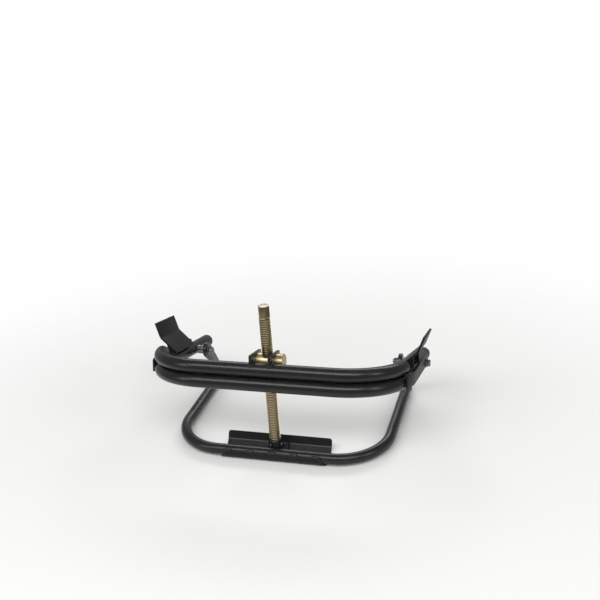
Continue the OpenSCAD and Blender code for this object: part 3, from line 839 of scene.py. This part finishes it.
def side_plate():
    """The flat bar outside an arm: it follows the end of the bend and runs on past the hinge bolt."""
    centre = Vector((UPPER_HALF - UPPER_BEND, UPPER_BEND, SIDE_MID))
    stations = []
    for a in angles(-radians(SIDE_WRAP), 0, 10):
        out = Vector((cos(a), sin(a), 0))
        stations.append((centre + (SIDE_X - centre.x) * out, out, SIDE_H / 2))
    for a in angles(0, pi / 2, 8):
        place = Vector((SIDE_X, SIDE_END - SIDE_CORNER * (1 - sin(a)), SIDE_MID))
        stations.append((place, Vector((1, 0, 0)), SIDE_H / 2 - SIDE_CORNER * (1 - cos(a))))
    bm = bmesh.new()
    rings = []
    for place, out, half in stations:
        corners = ((0, -half), (SIDE_T, -half), (SIDE_T, half), (0, half))
        rings.append([bm.verts.new(place + w * out + Vector((0, 0, z))) for w, z in corners])
    for low, high in zip(rings, rings[1:]):
        skin(bm, low, high)
    bm.faces.new(rings[0])
    bm.faces.new(rings[-1])
    bmesh.ops.recalc_face_normals(bm, faces=bm.faces)
    hole = drill(BOLT_R + HOLE_FIT, SIDE_X, SIDE_X + SIDE_T, SIDE_HOLE_RIM)
    return cut(soften(bm, SIDE_RIM), moved(hole, at(0, HINGE_REACH, -SEAM) @ ALONG_X))


piece("arm_side_plate_right", side_plate(), UPPER, PLATE_COAT, "upper_frame", "side_plate_right")
piece("arm_side_plate_left", mirrored(side_plate()), UPPER, PLATE_COAT, "upper_frame", "side_plate_left")


def pad():
    """A pad on the arm's gussets: a plate bent between its lower and upper legs."""
    centre = PAD_EDGE + PAD_LOW_L * PAD_ALONG + PAD_BEND * PAD_OUT
    face = arc(centre, PAD_BEND, PAD_LOW - 90, PAD_HIGH - 90, 8)
    back = arc(centre, PAD_BEND + PAD_T, PAD_HIGH - 90, PAD_LOW - 90, 8)
    rise = PAD_HIGH_L * Vector((cos(radians(PAD_HIGH)), sin(radians(PAD_HIGH))))
    outline = [PAD_EDGE] + face + [face[-1] + rise, back[0] + rise] + back + [PAD_EDGE - PAD_T * PAD_OUT]
    return moved(prism(outline, PAD_L, PAD_RIM), at(0, PAD_START, 0) @ PLATE_Y)


piece("tyre_pad_right", pad(), UPPER, PLATE_COAT, "upper_frame", "pad_right")
piece("tyre_pad_left", mirrored(pad()), UPPER, PLATE_COAT, "upper_frame", "pad_left")

GUSSET_PLACES = [PAD_START + y for y in (GUSSET_INSET, PAD_L - GUSSET_INSET - GUSSET_T)]


def under_pad(x, gap):
    """Height, at x, of the line that lies a gap below the pad's back."""
    along = (x - PAD_EDGE.x) / PAD_ALONG.x
    return PAD_EDGE.y + along * PAD_ALONG.y - (PAD_T + gap) / PAD_ALONG.x


def gussets():
    """Two plates that carry a pad on its arm."""
    saddle = UPPER_R + WELD_GAP
    reach = degrees(asin(GUSSET_W / 2 / saddle))
    outline = arc((UPPER_HALF, -SEAM), saddle, 90 + reach, 90 - reach, 10)
    for x in (UPPER_HALF + GUSSET_W / 2, UPPER_HALF - GUSSET_W / 2):
        outline.append(Vector((x, under_pad(x, WELD_GAP))))
    plates = [prism(outline, GUSSET_T, GUSSET_RIM) for _ in GUSSET_PLACES]
    return joined(*[moved(bm, at(0, y, 0) @ PLATE_Y) for bm, y in zip(plates, GUSSET_PLACES)])


piece("pad_gusset_plates_right", gussets(), UPPER, PLATE_COAT, "upper_frame", "pad_gussets_right")
piece("pad_gusset_plates_left", mirrored(gussets()), UPPER, PLATE_COAT, "upper_frame", "pad_gussets_left")


# Hinge hardware
HEX_TURN = 0.62
HEX_EASE = 0.6
HEX_INSET = 0.3
HEX_RIM = 0.25
CUT_OVER = 1.0


def hexagon(af, height, domed_both=False):
    """A hexagon bar along +Z with its outer corners turned off."""
    corner = af / 2 / cos(radians(30))
    clear = corner + CUT_OVER
    face = af / 2 - HEX_INSET
    turn = (corner - af / 2) * HEX_TURN + HEX_EASE
    base = [(0, 0), (face, 0)] if domed_both else [(0, -CUT_OVER), (clear, -CUT_OVER)]
    envelope = lathe(base + [(clear, turn), (clear, height - turn), (face, height), (0, height)])
    sides = prism(arc((0, 0), corner, 0, 300, 5), height)
    return soften(boolean(sides, "INTERSECT", envelope), HEX_RIM, 25, 2)


# A thread's line over one pitch, as shares of the pitch and of the depth
THREAD_LINE = ((0.0, 1.0), (0.30, 1.0), (0.45, 0.0), (0.85, 0.0))
THREAD_START = 0.4


def thread(r, depth, pitch, low, high, chamfer, steps):
    """A screw thread about Z from low to high, as one helical surface closed at both ends."""
    bm = bmesh.new()
    # Per-vertex shares of root and crest, which the zinc finish reads to paint shade in the roots and a
    # highlight on the crests
    root_shade_layer = bm.verts.layers.float.new("groove")
    crest_highlight_layer = bm.verts.layers.float.new("crest")
    per_turn = len(THREAD_LINE)
    turns = int((high - low) / pitch) + 2
    rows = []
    for k in range(-per_turn, turns * per_turn):
        part, rise = THREAD_LINE[k % per_turn]
        base = low + (k // per_turn + part) * pitch
        row = []
        for i in range(steps):
            a = 2 * pi * i / steps
            z = min(max(base + pitch * i / steps, low), high)
            lead = min(z - low, high - z)
            limit = r - depth - THREAD_START + lead if lead < chamfer else r
            radius = min(r - depth * (1 - rise), limit)
            v = bm.verts.new((radius * cos(a), radius * sin(a), z))
            v[root_shade_layer] = 1 - rise
            v[crest_highlight_layer] = rise
            row.append(v)
        rows.append(row)
    for k, (row, above) in enumerate(zip(rows, rows[1:])):
        for i in range(steps - 1):
            bm.faces.new((row[i], row[i + 1], above[i + 1], above[i]))
        if k + 1 + per_turn < len(rows):
            bm.faces.new((row[-1], rows[k + per_turn][0], rows[k + 1 + per_turn][0], above[-1]))
    bmesh.ops.remove_doubles(bm, verts=bm.verts, dist=1e-5)
    bmesh.ops.dissolve_degenerate(bm, edges=bm.edges, dist=1e-5)
    bmesh.ops.holes_fill(bm, edges=[e for e in bm.edges if e.is_boundary], sides=0)
    return bm


OUTER_WASHER = SIDE_X + SIDE_T + WELD_GAP
BOLT_HEAD = OUTER_WASHER + WASHER_T + WELD_GAP
INNER_WASHER = LUG_X - FACE_GAP - WASHER_T
NUT = INNER_WASHER - WELD_GAP - NUT_T
SPACER = LUG_X + LUG_T + FACE_GAP
SPACER_END = UPPER_HALF - UPPER_R - WELD_GAP
SHANK_START = NUT + 8.0
SHANK_END = BOLT_HEAD - 0.4
HEAD_SEAT = BOLT_HEAD + 0.3
BOLT_THREAD_END = NUT + 12.0
# A lock nut's collar, as (radius, height above the nut's end)
COLLAR_LINE = ((6.6, 0.0), (7.2, 0.6), (7.4, NUT_COLLAR + NUT_LAP))


def ring(low, high, r, hole, edge):
    """A washer or a sleeve along X, with chamfered rims."""
    line = [(hole, low + edge), (hole + edge, low), (r - edge, low), (r, low + edge),
            (r, high - edge), (r - edge, high), (hole + edge, high), (hole, high - edge)]
    return moved(lathe(line, closed=True), ALONG_X)


head = moved(hexagon(BOLT_AF, BOLT_HEAD_T), at(0, 0, BOLT_HEAD))
shank = lathe([(0, SHANK_START), (BOLT_R, SHANK_START), (BOLT_R, SHANK_END),
               (BOLT_R + BOLT_FILLET, HEAD_SEAT), (0, HEAD_SEAT)])
tail = thread(BOLT_R, BOLT_THREAD, BOLT_PITCH, NUT - BOLT_OVER, BOLT_THREAD_END, BOLT_LEAD, 32)
bolts = both_sides(moved(joined(head, shank, tail), ALONG_X))
piece("hinge_bolt_pair", bolts, HINGE, ZINC, "upper_frame", "hinge_bolts")

nut_hole = BOLT_R + NUT_FIT
flats = moved(hexagon(BOLT_AF, NUT_T - NUT_COLLAR, True), at(0, 0, NUT + NUT_COLLAR))
line = [(nut_hole, 0.0), *COLLAR_LINE, (nut_hole, NUT_COLLAR + NUT_LAP)]
collar = lathe([(r, NUT + h) for r, h in line], closed=True)
nuts = both_sides(moved(joined(flats, collar), ALONG_X))
piece("hinge_lock_nuts", nuts, HINGE, ZINC, "upper_frame", "hinge_nuts")

for name, low, high, node in (
        ("hinge_washers_inner", INNER_WASHER, INNER_WASHER + WASHER_T, "hinge_inner_washers"),
        ("hinge_washers_outer", OUTER_WASHER, OUTER_WASHER + WASHER_T, "hinge_outer_washers"),
        ("hinge_spacer_sleeves", SPACER, SPACER_END, "hinge_spacers")):
    sleeve = ring(low, high, WASHER_R, BOLT_R + HOLE_FIT, RING_RIM)
    piece(name, both_sides(sleeve), HINGE, ZINC, "upper_frame", node)


# Screw, barrel and shoe
BORE_OVER = 5.0
SCREW_LEAD = 2.0
DRIVE_LAP = 1.0
SPIGOT_LOW = BALL_R + SHOE_FLOOR + SPIGOT_GAP
SPIGOT_TOP = THREAD_BASE + SPIGOT_LAP


def barrel():
    """The barrel nut: chamfered ends and a bore across its middle for the screw."""
    low, high = BARREL_ENDS
    rim = BARREL_R - BARREL_RIM
    shape = lathe([(0, low), (rim, low), (BARREL_R, low + BARREL_RIM), (BARREL_R, high - BARREL_RIM),
                   (rim, high), (0, high)], steps=96)
    bore = SCREW_R + RUN_FIT
    reach = BARREL_R + BORE_OVER
    hole = lathe([(0, -reach), (bore, -reach), (bore, reach), (0, reach)], steps=96)
    return cut(moved(shape, ALONG_X), hole)


piece("barrel_nut", moved(barrel(), at(0, 0, BARREL_DIST)), SCREW, GOLD, "trunnion", "trunnion_nut")

drive = moved(hexagon(DRIVE_AF, DRIVE_L + DRIVE_LAP), at(0, 0, DRIVE_BASE - DRIVE_LAP))
spigot = lathe([(0, SPIGOT_LOW), (SPIGOT_R, SPIGOT_LOW), (SPIGOT_R, SPIGOT_TOP), (0, SPIGOT_TOP)])
helix = thread(SCREW_R, THREAD_DEPTH, PITCH, THREAD_BASE, DRIVE_BASE, SCREW_LEAD, 64)
piece("lifting_screw", joined(helix, spigot, drive), SCREW, SCREW_GOLD, "screw", "lift_screw")

ball = [(BALL_R * cos(a), BALL_R * sin(a)) for a in angles(-pi / 2, radians(BALL_TOP), 18)]
bore = SPIGOT_R + SPIGOT_FIT
line = [(0, -BALL_R)] + ball[1:]
line += [(NECK_R, BALL_R), (COLLAR_R - COLLAR_EASE, BALL_R), (COLLAR_R, BALL_R + COLLAR_EASE)]
line += [(COLLAR_R, COLLAR_TOP - COLLAR_RIM), (COLLAR_R - COLLAR_RIM, COLLAR_TOP), (bore, COLLAR_TOP)]
line += [(bore, BALL_R + SHOE_FLOOR), (0, BALL_R + SHOE_FLOOR)]
piece("ball_shoe", lathe(line), SCREW, STEEL, "shoe", "thrust_shoe")

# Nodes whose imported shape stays, with a better finish
for node, finish in (("screw_socket", COAT), ("shoe_pin", ZINC)):
    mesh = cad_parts[node].data
    mesh.materials.clear()
    mesh.materials.append(finish.material)


# Weld beads
def weld(name, place, body, lines, r, ripple=RIPPLE):
    piece(name, joined(*[bead(points, r, ripple) for points in lines]), place, WELD, body)


# Bead sizes in millimetres, and how far a bead's middle lies outside the faces that it joins
BEAD_OUT = 0.8
WELD_R = 2.2
FINE_WELD_R = 1.9
END_WELD_R = 2.4
SOCKET_WELD_R = 1.8
STITCH_PLACES = range(-2, 3)
STITCH_STEP = 52.0
STITCH_L = 21.0
STITCH_R = 3.9
STITCH_RIPPLE = 3.4
STITCH_IN = 0.45
STITCH_OVER = 2
edge_r = PAN_IN + PAN_T * STITCH_IN
edge_turn = radians(PAN_WRAP + STITCH_OVER)
stitches = []
for k in STITCH_PLACES:
    ends = [k * STITCH_STEP + t * STITCH_L for t in (-0.5, 0.5)]
    stitches.append([Vector((x, -edge_r * cos(edge_turn), edge_r * sin(edge_turn))) for x in ends])
weld("foot_stitch_welds", LOWER, "lower_frame", stitches, STITCH_R, STITCH_RIPPLE)

END_WELD_OUT = 0.6
END_WELD_LOW = 205
line = arc((0, 0), PAN_IN + BEAD_OUT, 180 - PAN_WRAP, END_WELD_LOW)
slanted = []
for side in (-1, 1):
    slanted.append([Vector((side * (pan_half(y, z, 0) + END_WELD_OUT), y, z)) for y, z in line])
weld("foot_end_welds", LOWER, "lower_frame", slanted, END_WELD_R)

EAR_WELD_OUT = 0.9
EAR_FRONT_OUT = 1.0
EAR_WELD_START = 8
EAR_WELD_END = 142
ear_lines = []
for x, out in ((EAR_LEFT, -1), (EAR_LEFT + EAR_T, 1), (EAR_RIGHT, -1), (EAR_RIGHT + EAR_T, 1)):
    face = at(x + out * EAR_WELD_OUT, 0, SEAM) @ PLATE_X
    ear_lines.append(ring_line(face, UPPER_R + EAR_WELD_OUT, EAR_WELD_START, EAR_WELD_END))
front_r = UPPER_R + EAR_FRONT_OUT
front_turn = radians(EAR_WELD_END + 2)
front = (front_r * cos(front_turn), SEAM + front_r * sin(front_turn))
for x in (EAR_LEFT, EAR_RIGHT):
    ends = (x - EAR_FRONT_OUT, x + EAR_T + EAR_FRONT_OUT)
    ear_lines.append([Vector((end, *front)) for end in ends])
weld("ear_fillet_welds", UPPER, "upper_frame", ear_lines, WELD_R)

CAP_WELD_IN = 0.2
LUG_WELD_FRONT = LUG_FRONT - 0.6
LUG_WELD_HALF = LOWER_R - 2.0
cap_lines = []
for side in (-1, 1):
    rim = at(side * LOWER_HALF, LOWER_ARM, 0) @ ALONG_Y
    cap_lines.append(ring_line(rim, LOWER_R - CAP_WELD_IN, 0, 360, 40))
for side in (-1, 1):
    for out in (-1, 1):
        x = side * LOWER_HALF + out * (LUG_T / 2 + BEAD_OUT)
        cap_lines.append([Vector((x, LUG_WELD_FRONT, z)) for z in (-LUG_WELD_HALF, LUG_WELD_HALF)])
weld("lug_welds", LOWER, "lower_frame", cap_lines, FINE_WELD_R)

GUSSET_WELD_OUT = 0.7
GUSSET_WELD_HALF = GUSSET_W / 2 - 1.5
GUSSET_WELD_ARC = (52, 128)
gusset_lines = []
for side in (-1, 1):
    for y in GUSSET_PLACES:
        for rim in (y - GUSSET_WELD_OUT, y + GUSSET_T + GUSSET_WELD_OUT):
            place = at(side * UPPER_HALF, rim, -SEAM) @ PLATE_Y
            gusset_lines.append(ring_line(place, UPPER_R + BEAD_OUT, *GUSSET_WELD_ARC))
            ends = (UPPER_HALF - GUSSET_WELD_HALF, UPPER_HALF + GUSSET_WELD_HALF)
            gusset_lines.append([Vector((side * x, rim, under_pad(x, BEAD_OUT))) for x in ends])
weld("gusset_welds", UPPER, "upper_frame", gusset_lines, FINE_WELD_R)

SIDE_WELD_L = 34.0
SIDE_WELD_UP = 8.0
SIDE_WELD_IN = 1.2
SIDE_WELD_STARTS = (UPPER_BEND + 12, UPPER_BEND + 80, HINGE_REACH - 4)
side_lines = []
for side in (-1, 1):
    for start in SIDE_WELD_STARTS:
        for z in (-SEAM - SIDE_WELD_UP, -SEAM + SIDE_WELD_UP):
            x = side * (SIDE_X - SIDE_WELD_IN)
            side_lines.append([Vector((x, start, z)), Vector((x, start + SIDE_WELD_L, z))])
weld("side_plate_welds", UPPER, "upper_frame", side_lines, WELD_R)

SOCKET_WELD_OUT = 0.4
SOCKET_WELD_ARC = (-72, 252)
base = LOWER @ at(0, BALL_BACK, -LOWER_R + BEAD_OUT)
socket_line = ring_line(Matrix.Identity(4), SOCKET_R + SOCKET_WELD_OUT, *SOCKET_WELD_ARC, 40)
weld("socket_weld", base, "lower_frame", [socket_line], SOCKET_WELD_R)

SEAM_WELD_HALF = 14.0
SEAM_WELD_Y = 1.2
SEAM_WELD_PLACES = (70, 150)
seam_lines = []
for side in (-1, 1):
    for x in SEAM_WELD_PLACES:
        for y in (-SEAM_WELD_Y, SEAM_WELD_Y):
            ends = (side * x - SEAM_WELD_HALF, side * x + SEAM_WELD_HALF)
            seam_lines.append([Vector((end, y, 0)) for end in ends])
weld("tube_seam_welds", UPPER, "upper_frame", seam_lines, WELD_R)

# Floor, light and camera
FLOOR_SIZE_M = 9.0
FLOOR_DROP_M = 0.0004
FLOOR_FADE_M = (0.42, 1.4)
AIM = Vector((0, 0.1, 0.15))


def floor():
    """A pale floor that fades into the white background away from the clamp."""
    f = Finish("pale_floor", "")
    away = f.node("VectorMath", {"operation": "LENGTH"}, {0: f.place}, out="Value")
    f.set(Base_Color=rgb(0.80, 0.80, 0.79), Roughness=0.9, Alpha=1 - away.step(*FLOOR_FADE_M))
    bm = bmesh.new()
    bmesh.ops.create_grid(bm, x_segments=1, y_segments=1, size=FLOOR_SIZE_M / 2)
    mesh = bpy.data.meshes.new("floor")
    bm.to_mesh(mesh)
    bm.free()
    mesh.materials.append(f.material)
    obj = bpy.data.objects.new("floor", mesh)
    obj.location.z = -FLOOR_DROP_M
    bpy.context.scene.collection.objects.link(obj)


floor()


def softbox(name, place, size, watts):
    """A rectangular lamp that looks at the clamp and stays out of the picture."""
    lamp = bpy.data.lights.new(name, "AREA")
    lamp.shape = "RECTANGLE"
    lamp.size, lamp.size_y = size
    lamp.energy = watts
    obj = bpy.data.objects.new(name, lamp)
    obj.location = place
    obj.rotation_euler = (AIM - Vector(place)).to_track_quat("-Z", "Y").to_euler()
    obj.visible_camera = False
    bpy.context.scene.collection.objects.link(obj)


softbox("front_high", (0.1, -1.65, 2.25), (3.4, 0.9), 56)
softbox("back", (-0.2, 2.4, 1.9), (3.0, 0.8), 34)
softbox("front_left", (-2.3, -2.0, 1.5), (0.8, 1.6), 14)
softbox("right", (2.6, -0.9, 1.6), (0.7, 1.4), 12)

# White background: full to the camera, lower in mirrors and as light
AMBIENT = 0.38
MIRRORED = 0.35
WHITE = 1.0
world = bpy.data.worlds.new("studio")
world.use_nodes = True
tree = world.node_tree
sky = tree.nodes["Background"]
sky.inputs["Color"].default_value = rgb(1, 1, 1)
seen = tree.nodes.new("ShaderNodeLightPath")
level = None
strengths = {"Is Glossy Ray": MIRRORED, "Is Transmission Ray": MIRRORED, "Is Camera Ray": WHITE}
for way, strength in strengths.items():
    shade = tree.nodes.new("ShaderNodeMix")
    shade.inputs["A"].default_value = AMBIENT
    shade.inputs["B"].default_value = strength
    if level:
        tree.links.new(level, shade.inputs["A"])
    tree.links.new(seen.outputs[way], shade.inputs["Factor"])
    level = shade.outputs["Result"]
tree.links.new(level, sky.inputs["Strength"])
bpy.context.scene.world = world
bpy.context.scene.view_settings.view_transform = "Standard"

CAMERA_M = (0.6088, -1.6300, 1.1622)
CAMERA_YAW = 17.68
CAMERA_PITCH = 24.2
CAMERA_ROLL = -4.95
LENS_MM = 54.0
SENSOR_MM = 36.0
camera = bpy.data.objects.new("camera", bpy.data.cameras.new("camera"))
camera.data.lens = LENS_MM
camera.data.sensor_width = SENSOR_MM
camera.matrix_world = (at(*CAMERA_M) @ turned(CAMERA_YAW, "Z") @ turned(90 - CAMERA_PITCH, "X")
                       @ turned(CAMERA_ROLL, "Z"))
bpy.context.scene.collection.objects.link(camera)
bpy.context.scene.camera = camera

bpy.context.view_layer.update()
